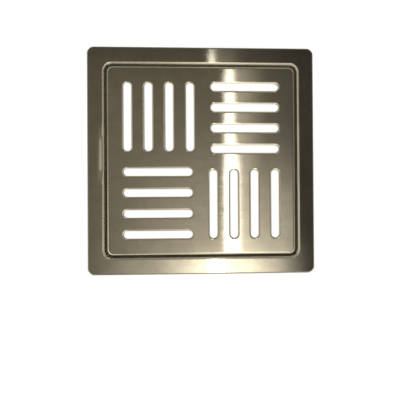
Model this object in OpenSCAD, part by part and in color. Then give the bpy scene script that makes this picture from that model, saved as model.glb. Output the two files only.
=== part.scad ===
// Square floor drain: a pressed steel frame set in the floor and a slotted grate that lifts out of it.
// Origin at the middle of the frame's underside. +Z is up, out of the floor. +Y is the back.

/* [Frame] */
// Width of the frame across its flange
frame_w = 150; // [135:1:200]
// Corner radius of the flange in plan
frame_corner_r = 4.4; // [2.8:0.1:8]
// Thickness of the sheet the frame is pressed from
frame_t = 0.8; // [0.6:0.1:0.9]
// Distance from the flange's outer edge to the wall of the well
flange_w = 11.2; // [9:0.1:14]
// Outside radius of the flange's turned-down edge
edge_r = 1; // [1:0.1:2.5]
// Height of the turned-down edge
edge_h = 3.5; // [3:0.1:6]
// Outside radius where the flange rolls over into the well
rim_r = 1.4; // [1.2:0.1:3.4]
// Corner radius of the well's wall in plan
well_corner_r = 5; // [3.2:0.1:8]
// Depth from the flange's top to the ledge that carries the grate
well_depth = 6.5; // [6:0.5:16]
// Inside radius of the bend between the wall and the ledge
bend_r = 1.2; // [0.8:0.1:1.5]
// Width of the ledge from the wall to the drain opening
ledge_w = 7.2; // [6.8:0.1:12]
// Radius where the ledge rolls over into the collar
collar_r = 2; // [1.5:0.1:2.4]
// Height of the collar, measured from the ledge's top
collar_h = 15.5; // [11:0.5:30]
// Corner radius of the drain opening
opening_corner_r = 6; // [3:0.5:15]

/* [Grate] */
// Gap between the grate and the well's wall, all round
grate_gap = 1.2; // [0.8:0.1:2]
// Distance of the grate's top below the flange's top
grate_drop = 0.3; // [0:0.1:1.2]
// Thickness of the sheet the grate is pressed from
grate_t = 1.2; // [0.8:0.1:1.4]
// Outside radius of the grate's turned-down edge
grate_edge_r = 1.8; // [1.5:0.1:2.5]
// Corner radius of the grate in plan
grate_corner_r = 4.4; // [3:0.1:6]

/* [Slots] */
// Slots in each of the four groups
slot_count = 4; // [3:1:4]
// Width of a slot
slot_w = 4.9; // [4:0.1:8]
// Plain band between neighbouring groups
cross_w = 10.3; // [6:0.1:20]
// Plain border between the grate's edge and the groups
slot_margin = 11.4; // [9:0.1:16]
// Distance by which a slot's inner end stands back from the side of its group
slot_inset = 1.2; // [0:0.1:3]
// Inside radius of the rolled rim around a slot
slot_bend_r = 0.6; // [0.4:0.1:2]
// Angle by which the rim is rolled down
slot_rim_angle = 40; // [20:1:60]

/* [Seat strips] */
// Thickness of a strip under the grate's skirt
strip_t = 2.4; // [1.8:0.1:2.8]
// Distance of a strip's inner edge from the skirt's inner face
strip_overhang = 2; // [1:0.1:2.5]
// Height of the lip inside the skirt, above the grate's lower edge
strip_inner_lip_h = 1.2; // [0.6:0.1:1.4]
// Height of the lip outside the skirt, above the grate's lower edge
strip_outer_lip_h = 2.2; // [0.6:0.1:2.4]
// Gap between a lip and the grate's skirt
strip_clearance = 0.3; // [0.3:0.05:0.5]
// Gap between a strip and the wall of the well
strip_wall_gap = 0.3; // [0.2:0.05:0.4]
// Distance of a strip's mitred end from the diagonal of the corner
strip_mitre_gap = 0.2; // [0.1:0.05:1]

/* [Anchor lugs] */
// Width of the strip a lug is bent from
lug_w = 16; // [10:1:30]
// Thickness of that strip
lug_t = 1.2; // [1:0.1:1.6]
// Inside radius of the lug's bend
lug_bend_r = 1.5; // [1:0.1:1.5]
// Height of the lug's underside above the collar's lower edge
lug_rise = 2.6; // [2.4:0.1:2.8]
// Length of the lug's flat foot
lug_foot = 8; // [5:0.5:9]
// Length of the split tail
lug_tail = 4.5; // [3:0.5:5]
// Angle by which the two halves of the tail are spread
lug_spread = 24; // [10:1:25]
// Width of the slit between the two halves
lug_slit = 0.8; // [0.5:0.1:2]
// Distance of the lug's upper end below the roll-over of the collar
lug_top_gap = 0.3; // [0:0.1:1]

/* [Hidden] */
$fa = 4;
$fs = 0.3;

frame_h = collar_h + well_depth;
well_w = frame_w - 2 * flange_w;
opening_w = well_w - 2 * ledge_w;
ledge_z = collar_h;

grate_w = well_w - 2 * grate_gap;
grate_z = ledge_z + strip_t;
grate_h = well_depth - strip_t - grate_drop;

group_w = (grate_w - 2 * slot_margin - cross_w) / 2;
slot_pitch = (group_w - slot_w) / (slot_count - 1);
slot_len = group_w - slot_inset;
slot_run = slot_len - slot_w;
slot_rim_r = slot_bend_r + grate_t;
slot_rim_w = slot_rim_r * sin(slot_rim_angle);

skirt_in = grate_w / 2 - grate_t;
strip_w = well_w - 2 * strip_wall_gap;
strip_r = well_corner_r - strip_wall_gap;
strip_in_w = 2 * (skirt_in - strip_overhang);
inner_lip_w = 2 * (skirt_in - strip_clearance);
inner_lip_r = grate_corner_r - grate_t - strip_clearance;
outer_lip_w = grate_w + 2 * strip_clearance;
outer_lip_r = grate_corner_r + strip_clearance;

lug_x = opening_w / 2 + frame_t;
lug_top = collar_h - collar_r - lug_top_gap;

steel = [0.56, 0.53, 0.46];
dull_steel = [0.46, 0.45, 0.42];
dark_rubber = [0.12, 0.12, 0.11];

// A square outline with rounded corners
module rounded_square(w, r) {
  square([w, w - 2 * r], center = true);
  square([w - 2 * r, w], center = true);
  for (sx = [-1, 1])
    for (sy = [-1, 1])
      translate([sx * (w / 2 - r), sy * (w / 2 - r)])
        circle(r);
}

// A round-ended slot outline, long way along Y
module round_ended(w, run) {
  square([w, run], center = true);
  for (sy = [-1, 1])
    translate([0, sy * run / 2])
      circle(w / 2);
}

// A quarter of a sheet bend: centre at the origin, in the upper right quarter
module bend(r_out, r_in) {
  intersection() {
    difference() {
      circle(r_out);
      circle(r_in);
    }
    square(r_out);
  }
}

// Carries a section around a rounded square: x is outwards from its outline, y is up
module around(w, r) {
  for (turn = [0:90:270])
    rotate(turn) {
      translate([w / 2, w / 2 - r, 0])
        rotate([90, 0, 0])
          linear_extrude(w - 2 * r)
            children();
      translate([w / 2 - r, w / 2 - r, 0])
        rotate_extrude(angle = 90)
          translate([r, 0])
            children();
    }
}

// Section of an edge turned down from a flat sheet, measured from its outside corner
module turned_down(r, t, h) {
  translate([-r, -r])
    bend(r, r - t);
  translate([-t, -h])
    square([t, h - r]);
}

// Section of the well's wall: the roll-over from the flange, the wall and the bend into the ledge
module well_section() {
  mirror([1, 0])
    translate([-rim_r, -rim_r])
      bend(rim_r, rim_r - frame_t);
  translate([0, bend_r - well_depth])
    square([frame_t, well_depth - bend_r - rim_r]);
  translate([-bend_r, bend_r - well_depth])
    mirror([0, 1])
      bend(bend_r + frame_t, bend_r);
}

module frame() {
  color(steel)
    union() {
      translate([0, 0, frame_h]) {
        translate([0, 0, -frame_t])
          linear_extrude(frame_t)
            difference() {
              rounded_square(frame_w - 2 * edge_r, frame_corner_r - edge_r);
              rounded_square(well_w + 2 * rim_r, well_corner_r + rim_r);
            }
        around(frame_w, frame_corner_r)
          turned_down(edge_r, frame_t, edge_h);
        around(well_w, well_corner_r)
          well_section();
      }
      translate([0, 0, ledge_z]) {
        translate([0, 0, -frame_t])
          linear_extrude(frame_t)
            difference() {
              rounded_square(well_w - 2 * bend_r, well_corner_r - bend_r);
              rounded_square(opening_w + 2 * collar_r, opening_corner_r + collar_r);
            }
        around(opening_w, opening_corner_r)
          mirror([1, 0])
            turned_down(collar_r, frame_t, collar_h);
      }
    }
}

// Places one child at every slot; each group is a quarter turn from the last
module at_slots() {
  for (turn = [0:90:270])
    rotate(turn)
      for (i = [0:slot_count - 1])
        translate([-(cross_w + slot_w) / 2 - i * slot_pitch, (cross_w + group_w + slot_inset) / 2])
          children();
}

// Section of a slot's rolled rim: x is outwards from the slot's edge, y is up from the grate's top
module slot_rim_section() {
  far = 2 * slot_rim_r;
  translate([slot_rim_w, -slot_rim_r])
    intersection() {
      difference() {
        circle(slot_rim_r);
        circle(slot_bend_r);
      }
      polygon([[0, 0], [0, far], [-far * sin(slot_rim_angle), far * cos(slot_rim_angle)]]);
    }
}

module slot_rim() {
  for (turn = [0, 180])
    rotate(turn) {
      translate([slot_w / 2, slot_run / 2, 0])
        rotate([90, 0, 0])
          linear_extrude(slot_run)
            slot_rim_section();
      translate([0, slot_run / 2, 0])
        rotate_extrude(angle = 180)
          translate([slot_w / 2, 0])
            slot_rim_section();
    }
}

module grate() {
  color(steel)
    translate([0, 0, grate_z + grate_h]) {
      translate([0, 0, -grate_t])
        linear_extrude(grate_t)
          difference() {
            rounded_square(grate_w - 2 * grate_edge_r, grate_corner_r - grate_edge_r);
            at_slots()
              round_ended(slot_w + 2 * slot_rim_w, slot_run);
          }
      around(grate_w, grate_corner_r)
        turned_down(grate_edge_r, grate_t, grate_h);
      at_slots()
        slot_rim();
    }
}

// Side view of a lug on the collar's right-hand face
module lug_section() {
  translate([lug_x, lug_rise + lug_t + lug_bend_r])
    square([lug_t, lug_top - lug_rise - lug_t - lug_bend_r]);
  translate([lug_x + lug_t + lug_bend_r, lug_rise + lug_t + lug_bend_r])
    rotate(180)
      bend(lug_bend_r + lug_t, lug_bend_r);
  translate([lug_x + lug_t + lug_bend_r, lug_rise])
    square([lug_foot, lug_t]);
}

module lug_tail_section(spread) {
  translate([lug_x + lug_t + lug_bend_r + lug_foot, lug_rise + lug_t / 2]) {
    circle(lug_t / 2);
    rotate(spread)
      translate([0, -lug_t / 2])
        square([lug_tail, lug_t]);
  }
}

module anchor_lug() {
  tail_w = (lug_w - lug_slit) / 2;
  color(dull_steel)
    rotate([90, 0, 0]) {
      translate([0, 0, -lug_w / 2])
        linear_extrude(lug_w)
          lug_section();
      translate([0, 0, lug_slit / 2])
        linear_extrude(tail_w)
          lug_tail_section(lug_spread);
      translate([0, 0, -lug_slit / 2 - tail_w])
        linear_extrude(tail_w)
          lug_tail_section(-lug_spread);
    }
}

module anchor_lug_right() {
  anchor_lug();
}

module anchor_lug_back() {
  rotate(90)
    anchor_lug();
}

module anchor_lug_left() {
  rotate(180)
    anchor_lug();
}

module anchor_lug_front() {
  rotate(270)
    anchor_lug();
}

// Keeps what lies on the right-hand side, between the diagonals of the corners
module right_hand_side() {
  intersection() {
    children();
    rotate(-45)
      translate([strip_mitre_gap, strip_mitre_gap])
        square(frame_w);
  }
}

// Plan of a strip with its inner edge straight
module strip_plan(w, r) {
  right_hand_side()
    difference() {
      rounded_square(w, r);
      square(strip_in_w, center = true);
    }
}

// Foot beside the ledge's bend, seat for the skirt, and a lip on each side of the skirt
module seat_strip() {
  color(dark_rubber)
    translate([0, 0, ledge_z]) {
      linear_extrude(bend_r)
        strip_plan(strip_w - 2 * bend_r, strip_r - bend_r);
      translate([0, 0, bend_r])
        linear_extrude(strip_t - bend_r)
          strip_plan(strip_w, strip_r);
      translate([0, 0, strip_t])
        linear_extrude(strip_inner_lip_h)
          strip_plan(inner_lip_w, inner_lip_r);
      translate([0, 0, strip_t])
        linear_extrude(strip_outer_lip_h)
          right_hand_side()
            difference() {
              rounded_square(strip_w, strip_r);
              rounded_square(outer_lip_w, outer_lip_r);
            }
    }
}

module seat_strip_right() {
  seat_strip();
}

module seat_strip_back() {
  rotate(90)
    seat_strip();
}

module seat_strip_left() {
  rotate(180)
    seat_strip();
}

module seat_strip_front() {
  rotate(270)
    seat_strip();
}

frame();
grate();
anchor_lug_left();
anchor_lug_right();
anchor_lug_front();
anchor_lug_back();
seat_strip_left();
seat_strip_right();
seat_strip_front();
seat_strip_back();
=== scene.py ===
import math

import bpy
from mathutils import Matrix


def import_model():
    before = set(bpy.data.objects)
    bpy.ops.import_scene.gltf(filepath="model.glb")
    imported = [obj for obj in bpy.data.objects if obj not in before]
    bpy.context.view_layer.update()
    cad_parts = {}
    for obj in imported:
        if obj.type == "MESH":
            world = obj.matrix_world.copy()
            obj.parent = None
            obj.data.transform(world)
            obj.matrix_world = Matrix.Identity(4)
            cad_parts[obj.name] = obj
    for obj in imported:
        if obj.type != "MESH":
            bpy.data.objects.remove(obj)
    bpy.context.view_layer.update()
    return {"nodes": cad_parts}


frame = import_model()
nodes = frame["nodes"]
MM = 0.001

# Base colours
FRAME_STEEL = (0.56, 0.53, 0.46)
# The grate's steel is the frame's steel painted 1.33 times lighter: a painted highlight for the brighter
# reflections the grate shows, not a different steel.
GRATE_STEEL_PAINTED_LIGHTER = [1.33 * c for c in FRAME_STEEL]
LUG_STEEL = (0.30, 0.29, 0.27)
WELD_TINT = (0.10, 0.075, 0.06)
STRIP_RUBBER = (0.11, 0.11, 0.10)
WHITE = (1.0, 1.0, 1.0, 1.0)

# Brushed steel: noise cells per metre along the brushing and across it, detail and roughness of the noise
FINE_BRUSH = (20.0, 4200.0, 3.0, 0.6)
BROAD_BRUSH = (14.0, 700.0, 2.0, 0.5)
STREAK_SHARES = (0.55, 0.45)
CLOUD_SCALE = 110.0
STREAK_TONE, CLOUD_TONE = 0.35, 0.9
# Darkest and lightest tones of the random brushing, and the factor for the painted shade on the frame's outer
# edge.
DARKEST, LIGHTEST, PAINTED_EDGE_SHADE = 0.8, 1.2, 0.65
WAVE_SCALE = 24.0
WAVE_HEIGHT = 0.06 * MM
BRUSH_DEPTH = 0.02 * MM
BRUSH_STRENGTH = 0.3
SATIN_ROUGHNESS = 0.07
WORN_ROUGHNESS = 0.25
BRUSH_TANGENT = (1.0, 0.013, 0.017)
# Width over which the painted shade and the higher roughness fade in at the frame's outer edge.
EDGE_SHADE_BAND = 0.8 * MM
BEND_NORMALS = (0.9990, 0.9850)

# Spot welds on a lug: distance from the lug's middle and height
WELD_ASIDE = 4.0 * MM
WELD_HEIGHT = 9.2 * MM

# Floor
FLOOR_HALF = 3.0
FLOOR_DROP = 0.0002
FLOOR_GREY = 0.8
SHADOW_GREY = 0.12
FLOOR_GLOW = 0.97

# Light colours. The ceiling changes from the first to the second from left to right.
CEILING_LEFT = (0.982, 0.869, 0.661, 1.0)
CEILING_RIGHT = (0.982, 0.906, 0.743, 1.0)
ROOM_COLOUR = (0.982, 0.915, 0.768, 1.0)
LAMP_COLOUR = (0.923, 0.906, 0.826)
LAMP_DEGREES = 0.3

# The world's light comes in soft patches. A patch is the product of its fades. A fade names a direction's part,
# the two values between which it changes, and the two levels it changes between, which are 0 and 1 if not given.
# u and v are the direction's slopes x/z and y/z.
CEILING_TOTAL = [("v", 0.283, 0.262, 0.68, 1.0)]
CEILING_LEVEL = 0.067
CEILING_PATCHES = [
    [("u", 0.3125, 0.15, 0.0, 0.067)],
    [("v", 0.33, 0.15), ("u", 0.26, -0.02, 0.0, 0.029)],
]
GLOW_ENDS = [("u", 0.336, 0.148), ("v", -0.105, -0.145), ("v", -0.60, -0.30)]
GLOW_PATCHES = [
    [("u", -0.17, 0.06, 0.0, 0.72)] + GLOW_ENDS,
    [("u", 0.0, 0.13, 0.0, 1.85)] + GLOW_ENDS,
    [("u", -0.20, 0.10, 0.0, 0.32), ("u", 0.31, 0.20), ("v", 0.20, -0.11), ("v", -0.15, -0.10)],
    [("u", 0.10, 0.13, 0.0, 0.37), ("u", 0.193, 0.12), ("v", 0.30, 0.26)],
    [("u", 0.10, 0.13, 0.0, 0.15), ("u", 0.303, 0.12), ("v", 0.151, -0.14), ("v", -0.15, -0.10)],
    [("u", 0.18, 0.225, 0.0, 0.12), ("u", 0.275, 0.24), ("v", 0.07, 0.0), ("v", -0.09, -0.06)],
]
SIDE_LEVEL = 0.03
SIDE_PATCHES = [
    [("y", 0.05, -0.6), ("x", -0.12, 0.05, 0.8, 1.25), ("z", 0.32, 0.66, 0.25, 1.0)],
    [("x", 0.1, -0.6), ("y", 0.20, -0.10, 0.26, 0.72)],
    [("x", -0.1, 0.6), ("y", 0.15, -0.02, 0.12, 0.3)],
    [("y", 0.05, 0.6, 0.0, 0.21)],
]
SIDE_HEIGHTS = (0.89, 0.68)
HORIZON_HEIGHTS = (0.12, 0.04)

# Camera, fitted to an image of 400 x 400 pixels
IMAGE_SIZE = 400.0
FOCAL_PIXELS = 497.0
CAMERA_PLACE = (-0.0185, -0.0289, 0.3494)
CAMERA_DEGREES = (0.51, -3.00, -0.35)


class Graph:
    """Short calls for building a node tree: sockets are linked, other values are set."""

    def __init__(self, tree):
        self.tree = tree

    def node(self, kind, inputs=None, **settings):
        made = self.tree.nodes.new(kind)
        for name, value in settings.items():
            setattr(made, name, value)
        for key, value in (inputs or {}).items():
            self.feed(made.inputs[key], value)
        return made

    def feed(self, socket, value):
        if isinstance(value, bpy.types.NodeSocket):
            self.tree.links.new(value, socket)
        else:
            socket.default_value = value

    def math(self, operation, a, b=0.0, c=0.0, clamp=False):
        inputs = {0: a, 1: b, 2: c}
        return self.node("ShaderNodeMath", inputs, operation=operation, use_clamp=clamp).outputs[0]

    def times(self, first, *others):
        for other in others:
            first = self.math("MULTIPLY", first, other)
        return first

    def total(self, first, *others):
        for other in others:
            first = self.math("ADD", first, other)
        return first

    def combine(self, x, y, z):
        return self.node("ShaderNodeCombineXYZ", {0: x, 1: y, 2: z}).outputs[0]

    def separate(self, vector):
        return self.node("ShaderNodeSeparateXYZ", {0: vector}).outputs

    def scale(self, vector, factor):
        inputs = {0: vector, "Scale": factor}
        return self.node("ShaderNodeVectorMath", inputs, operation="SCALE").outputs[0]

    def mix_colour(self, factor, a, b):
        return self.node("ShaderNodeMix", {0: factor, 6: a, 7: b}, data_type="RGBA").outputs[2]

    def noise(self, vector, detail=2.0, roughness=0.5):
        inputs = {"Vector": vector, "Scale": 1.0, "Detail": detail, "Roughness": roughness}
        return self.node("ShaderNodeTexNoise", inputs).outputs[0]

    def ramp(self, value, low, high, to_low=0.0, to_high=1.0):
        inputs = {0: value, 1: low, 2: high, 3: to_low, 4: to_high}
        return self.node("ShaderNodeMapRange", inputs, interpolation_type="SMOOTHSTEP").outputs[0]

    def patch(self, parts, fades):
        return self.times(*[self.ramp(parts[name], *values) for name, *values in fades])

    def bump(self, height, strength, distance, normal=None):
        inputs = {"Strength": strength, "Distance": distance, "Height": height}
        if normal:
            inputs["Normal"] = normal
        return self.node("ShaderNodeBump", inputs).outputs[0]


def new_material(name):
    material = bpy.data.materials.new(name)
    material.use_nodes = True
    shader = material.node_tree.nodes["Principled BSDF"]
    return material, Graph(material.node_tree), shader


def shade(colour, factor):
    return [min(1.0, c * factor) for c in colour] + [1.0]


def brushed_steel(name, colour, bends, painted_highlight, seed, edge=None, relief=None):
    """Satin stainless, brushed from left to right.

    Between two distances from the middle its bends get a painted highlight, a lighter base colour, and a higher
    roughness; past the edge's distance it gets painted shade, a darker base colour, and a higher roughness.
    """
    material, g, shader = new_material(name)
    x, y, z = g.separate(g.node("ShaderNodeTexCoord").outputs["Object"])

    def brushed(along, across, detail, roughness):
        place = g.combine(g.times(x, along), g.times(y, across), g.math("MULTIPLY_ADD", z, across, seed))
        return g.noise(place, detail, roughness)

    def mottled(scale, detail, roughness):
        return g.noise(g.combine(g.times(x, scale), g.times(y, scale), seed), detail, roughness)

    fine_share, broad_share = STREAK_SHARES
    streaks = g.total(g.times(brushed(*FINE_BRUSH), fine_share), g.times(brushed(*BROAD_BRUSH), broad_share))
    cloud = mottled(CLOUD_SCALE, 3.0, 0.6)
    tone = g.total(g.times(g.math("SUBTRACT", streaks, 0.5), STREAK_TONE),
                   g.times(g.math("SUBTRACT", cloud, 0.5), CLOUD_TONE))
    lightness = g.math("ADD", tone, 0.5, clamp=True)
    surface = g.mix_colour(lightness, shade(colour, DARKEST), shade(colour, LIGHTEST))

    outward = g.math("MAXIMUM", g.math("ABSOLUTE", x), g.math("ABSOLUTE", y))
    upright = g.separate(g.node("ShaderNodeNewGeometry").outputs["True Normal"])[2]
    inner, outer = bends
    # Mask of the bends: there the base colour is lightened as a painted highlight, and the roughness rises.
    painted_light_and_wear = g.times(g.ramp(upright, *BEND_NORMALS), g.ramp(outward, inner - 0.4 * MM, inner),
                   g.ramp(outward, outer + 2.0 * MM, outer))
    painted_highlight_mask = painted_light_and_wear
    if edge:
        # Painted shade: past the edge's distance the base colour is darkened, and the roughness rises.
        edge_shade_and_wear = g.times(g.ramp(outward, edge, edge + EDGE_SHADE_BAND), g.ramp(cloud, 0.2, 0.6, 0.6, 1.0))
        surface = g.mix_colour(edge_shade_and_wear, surface, shade(colour, PAINTED_EDGE_SHADE))
        painted_light_and_wear = g.math("MAXIMUM", edge_shade_and_wear, painted_light_and_wear)
    # Painted highlight: the bends take a lighter copy of the base colour.
    g.feed(shader.inputs["Base Color"], g.mix_colour(painted_highlight_mask, surface, shade(colour, painted_highlight)))
    satin = g.math("MULTIPLY_ADD", tone, -0.02, SATIN_ROUGHNESS)
    g.feed(shader.inputs["Roughness"], g.math("MULTIPLY_ADD", painted_light_and_wear, WORN_ROUGHNESS, satin))

    sheet = g.times(mottled(WAVE_SCALE, 1.0, 0.4), WAVE_HEIGHT)
    if relief:
        sheet = g.total(sheet, relief(g, x, y))
    g.feed(shader.inputs["Normal"], g.bump(streaks, BRUSH_STRENGTH, BRUSH_DEPTH, g.bump(sheet, 1.0, 1.0)))
    g.feed(shader.inputs["Tangent"], g.combine(*BRUSH_TANGENT))
    shader.inputs["Metallic"].default_value = 1.0
    shader.inputs["Anisotropic"].default_value = 1.0
    shader.inputs["Anisotropic Rotation"].default_value = 0.25
    return material


def frame_relief(g, x, y):
    """The pressed frame leans a little, swells at the back and dips beside the well on the left."""
    lean = g.total(g.times(x, -0.0213), g.times(y, 0.015))
    beside_swell = g.math("ABSOLUTE", g.math("SUBTRACT", x, 5.0 * MM))
    swell = g.times(g.ramp(beside_swell, 15.0 * MM, 0.0), g.ramp(y, 50.0 * MM, 62.0 * MM), 0.046 * MM)
    along_dip = g.math("ABSOLUTE", g.math("SUBTRACT", y, 4.0 * MM))
    dip = g.times(g.ramp(x, -68.5 * MM, -64.0 * MM), g.ramp(along_dip, 22.0 * MM, 8.0 * MM), -0.36 * MM)
    return g.total(lean, swell, dip)


def welded_steel(name, colour):
    """Dull strip with two spot welds beside the middle of each lug."""
    material, g, shader = new_material(name)
    place = g.node("ShaderNodeTexCoord").outputs["Object"]
    x, y, z = g.separate(place)
    aside = g.math("MINIMUM", g.math("ABSOLUTE", x), g.math("ABSOLUTE", y))
    along = g.math("SUBTRACT", aside, WELD_ASIDE)
    up = g.math("SUBTRACT", z, WELD_HEIGHT)
    away = g.math("SQRT", g.total(g.times(along, along), g.times(up, up)))
    dimple = g.ramp(away, 2.1 * MM, 1.5 * MM)
    tint = g.times(g.ramp(away, 3.4 * MM, 1.9 * MM), g.ramp(away, 1.2 * MM, 1.8 * MM, 0.4, 1.0))
    cloud = g.noise(g.scale(place, 260.0), 4.0, 0.6)
    plain = g.mix_colour(cloud, shade(colour, 0.7), shade(colour, 1.15))
    g.feed(shader.inputs["Base Color"], g.mix_colour(g.times(tint, 0.75), plain, shade(WELD_TINT, 1.0)))
    g.feed(shader.inputs["Roughness"], g.ramp(cloud, 0.3, 0.7, 0.38, 0.55))
    height = g.math("MULTIPLY_ADD", dimple, -0.2 * MM, g.times(cloud, 0.02 * MM))
    g.feed(shader.inputs["Normal"], g.bump(height, 1.0, 1.0))
    shader.inputs["Metallic"].default_value = 1.0
    return material


def rubber(name, colour):
    """Matt moulded rubber with a fine grain."""
    material, g, shader = new_material(name)
    grain = g.noise(g.scale(g.node("ShaderNodeTexCoord").outputs["Object"], 1800.0), 3.0, 0.6)
    g.feed(shader.inputs["Base Color"], g.mix_colour(grain, shade(colour, 0.7), shade(colour, 1.5)))
    g.feed(shader.inputs["Roughness"], g.ramp(grain, 0.3, 0.7, 0.6, 0.8))
    g.feed(shader.inputs["Normal"], g.bump(grain, 0.3, 0.1 * MM))
    return material


def dress(material, *names):
    for name in names:
        slots = nodes[name].data.materials
        slots.clear()
        slots.append(material)


def floor():
    """A white floor that takes the object's shadow."""
    mesh = bpy.data.meshes.new("floor")
    corners = [(-1, -1), (1, -1), (1, 1), (-1, 1)]
    mesh.from_pydata([(FLOOR_HALF * x, FLOOR_HALF * y, 0) for x, y in corners], [], [(0, 1, 2, 3)])
    obj = bpy.data.objects.new("floor", mesh)
    bpy.context.scene.collection.objects.link(obj)
    obj.location.z = -FLOOR_DROP
    material, g, shader = new_material("floor_white")
    path = g.node("ShaderNodeLightPath").outputs
    mirrored = g.math("ADD", path["Is Glossy Ray"], path["Is Transmission Ray"])
    seen = g.math("ADD", path["Is Camera Ray"], mirrored, clamp=True)
    plain = g.node("ShaderNodeBsdfDiffuse", {"Color": shade([FLOOR_GREY] * 3, 1.0)}).outputs[0]
    shaded = g.node("ShaderNodeBsdfDiffuse", {"Color": shade([SHADOW_GREY] * 3, 1.0)}).outputs[0]
    white = g.node("ShaderNodeEmission", {"Color": WHITE, "Strength": FLOOR_GLOW}).outputs[0]
    bright = g.node("ShaderNodeAddShader", {0: white, 1: shaded}).outputs[0]
    surface = g.node("ShaderNodeMixShader", {0: seen, 1: plain, 2: bright}).outputs[0]
    g.feed(g.tree.nodes["Material Output"].inputs["Surface"], surface)
    g.tree.nodes.remove(shader)
    mesh.materials.append(material)


def world():
    """A dim ceiling with a soft glow to the front, light from the sides, and a white backdrop."""
    made = bpy.data.worlds.new("studio")
    bpy.context.scene.world = made
    made.use_nodes = True
    g = Graph(made.node_tree)
    x, y, z = g.separate(g.node("ShaderNodeTexCoord").outputs["Generated"])
    up = g.math("MAXIMUM", z, 0.05)
    parts = {"x": x, "y": y, "z": z, "u": g.math("DIVIDE", x, up), "v": g.math("DIVIDE", y, up)}
    dim = g.total(CEILING_LEVEL, *[g.patch(parts, fades) for fades in CEILING_PATCHES])
    dim = g.times(dim, g.patch(parts, CEILING_TOTAL))
    glow = g.total(*[g.patch(parts, fades) for fades in GLOW_PATCHES])
    sides = g.total(SIDE_LEVEL, *[g.patch(parts, fades) for fades in SIDE_PATCHES])
    low = g.ramp(z, *SIDE_HEIGHTS)

    ceiling = g.tree.nodes["Background"]
    g.feed(ceiling.inputs["Color"], g.mix_colour(g.ramp(parts["u"], 0.12, 0.27), CEILING_LEFT, CEILING_RIGHT))
    g.feed(ceiling.inputs["Strength"], g.times(dim, g.math("SUBTRACT", 1.0, low)))
    level = g.math("MULTIPLY_ADD", sides, low, glow)
    room = g.node("ShaderNodeBackground", {"Color": ROOM_COLOUR, "Strength": level}).outputs[0]
    both = g.node("ShaderNodeAddShader", {0: ceiling.outputs[0], 1: room}).outputs[0]
    backdrop = g.node("ShaderNodeBackground", {"Color": WHITE, "Strength": 1.0}).outputs[0]
    path = g.node("ShaderNodeLightPath").outputs
    mirrored = g.math("ADD", path["Is Glossy Ray"], path["Is Transmission Ray"])
    horizon = g.ramp(z, *HORIZON_HEIGHTS)
    seen = g.math("MULTIPLY_ADD", mirrored, horizon, path["Is Camera Ray"], clamp=True)
    surface = g.node("ShaderNodeMixShader", {0: seen, 1: both, 2: backdrop}).outputs[0]
    g.feed(g.tree.nodes["World Output"].inputs["Surface"], surface)


def strip_lamp(name, place, width, length, power):
    """A long narrow lamp that faces straight down."""
    data = bpy.data.lights.new(name, "AREA")
    data.shape = "RECTANGLE"
    data.size = width
    data.size_y = length
    data.energy = power
    data.color = LAMP_COLOUR
    obj = bpy.data.objects.new(name, data)
    bpy.context.scene.collection.objects.link(obj)
    obj.location = place
    obj.rotation_euler[2] = math.radians(LAMP_DEGREES)


def camera():
    data = bpy.data.cameras.new("camera")
    data.sensor_width = 36.0
    data.lens = data.sensor_width * FOCAL_PIXELS / IMAGE_SIZE
    data.clip_start = 0.01
    obj = bpy.data.objects.new("camera", data)
    bpy.context.scene.collection.objects.link(obj)
    obj.location = CAMERA_PLACE
    obj.rotation_euler = [math.radians(a) for a in CAMERA_DEGREES]
    bpy.context.scene.camera = obj


lugs = [name for name in nodes if name.startswith("anchor_lug")]
strips = [name for name in nodes if name.startswith("seat_strip")]
# Painted light: the frame's well rim and the grate's slot rims get a painted highlight, and the frame's outer
# edge gets painted shade.
dress(brushed_steel("frame_steel", FRAME_STEEL, bends=(63.2 * MM, 66.0 * MM), painted_highlight=1.4, seed=3.0,
                    edge=73.8 * MM, relief=frame_relief), "frame")
dress(brushed_steel("grate_steel", GRATE_STEEL_PAINTED_LIGHTER, bends=(0.0, 55.0 * MM), painted_highlight=1.1, seed=8.0), "grate")
dress(welded_steel("lug_steel", LUG_STEEL), *lugs)
dress(rubber("strip_rubber", STRIP_RUBBER), *strips)

floor()
world()
strip_lamp("tube", (0.1332, -0.0432, 1.02), width=0.0245, length=0.758, power=0.136)
strip_lamp("wide_tube", (0.1395, -0.166, 1.03), width=0.042, length=0.512, power=0.10)
camera()
bpy.context.scene.view_settings.view_transform = "Standard"
